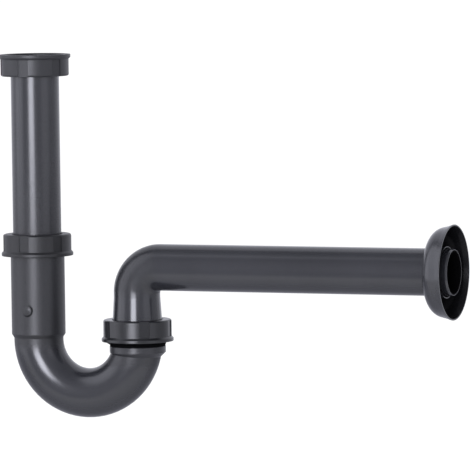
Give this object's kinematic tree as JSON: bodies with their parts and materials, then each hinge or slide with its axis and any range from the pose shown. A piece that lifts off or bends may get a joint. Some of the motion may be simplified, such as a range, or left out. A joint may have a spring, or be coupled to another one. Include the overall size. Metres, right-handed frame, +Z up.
{
  "type": "tubular trap",
  "caption": "Tubular P-trap for a washbasin: inlet tube with union nut, U-bend with socket, elbowed outlet pipe and round-shouldered wall rosette.",
  "frame": {"origin": "on the inlet axis, where the thread of the inlet nut starts, 0.6 mm below the nut's mouth face", "axes": "+Z up along the inlet axis, out of the nut's mouth; +X along the outlet pipe, towards the wall; the bend, riser and pipe lie in the XZ plane"},
  "size_m": [0.3287, 0.0644, 0.2505],
  "materials": {
    "trap_plastic": "satin-gloss anthracite polypropylene, as moulded",
    "nut_plastic": "satin-gloss anthracite polypropylene, as moulded",
    "rosette_plastic": "glossy anthracite polypropylene, as moulded",
    "seal_rubber": "matt black EPDM",
    "washer_plastic": "natural polyethylene, matt"
  },
  "bodies": {
    "inlet_nut": {"inlet_union_nut": "nut_plastic"},
    "tube": {"inlet_tube": "trap_plastic", "inlet_flat_seal": "seal_rubber"},
    "seal": {"bend_cone_seal": "seal_rubber"},
    "bend": {"trap_bend": "trap_plastic", "outlet_flat_seal": "seal_rubber"},
    "washer": {"bend_friction_washer": "washer_plastic"},
    "bend_nut": {"bend_union_nut": "nut_plastic"},
    "outlet_nut": {"outlet_union_nut": "nut_plastic"},
    "outlet": {"outlet_pipe": "trap_plastic"},
    "rosette": {"wall_rosette": "rosette_plastic"}
  },
  "joints": [
    {"name": "inlet_swivel", "type": "hinge", "parent": "inlet_nut", "child": "tube", "pos_m": [0, 0, 0], "axis": [0, 0, 1], "continuous": true},
    {"name": "height_adjustment", "type": "slide", "parent": "tube", "child": "seal", "axis": [0, 0, 1], "range_m": [-0.02, 0.018]},
    {"name": "bend_swivel", "type": "hinge", "parent": "seal", "child": "bend", "pos_m": [0, 0, -0.1959], "axis": [0, 0, 1], "continuous": true},
    {"name": "bend_washer_lift", "type": "slide", "parent": "bend", "child": "washer", "axis": [0, 0, 1], "range_m": [0, 0.00924]},
    {"name": "bend_nut_turn", "type": "hinge", "parent": "washer", "child": "bend_nut", "pos_m": [0, 0, -0.1234], "axis": [0, 0, 1], "range_deg": [0, 1440]},
    {"name": "outlet_nut_turn", "type": "hinge", "parent": "bend", "child": "outlet_nut", "pos_m": [0.074, 0, -0.1812], "axis": [0, 0, 1], "range_deg": [0, 1440]},
    {"name": "outlet_swivel", "type": "hinge", "parent": "bend", "child": "outlet", "pos_m": [0.074, 0, -0.1812], "axis": [0, 0, 1], "range_deg": [-125, 125]},
    {"name": "rosette_slide", "type": "slide", "parent": "outlet", "child": "rosette", "axis": [-1, 0, 0], "range_m": [0, 0.193]}
  ],
  "couplings": [
    {"joint": "bend_washer_lift", "follows": "bend_nut_turn", "m_per_rad": 0.00036749}
  ]
}
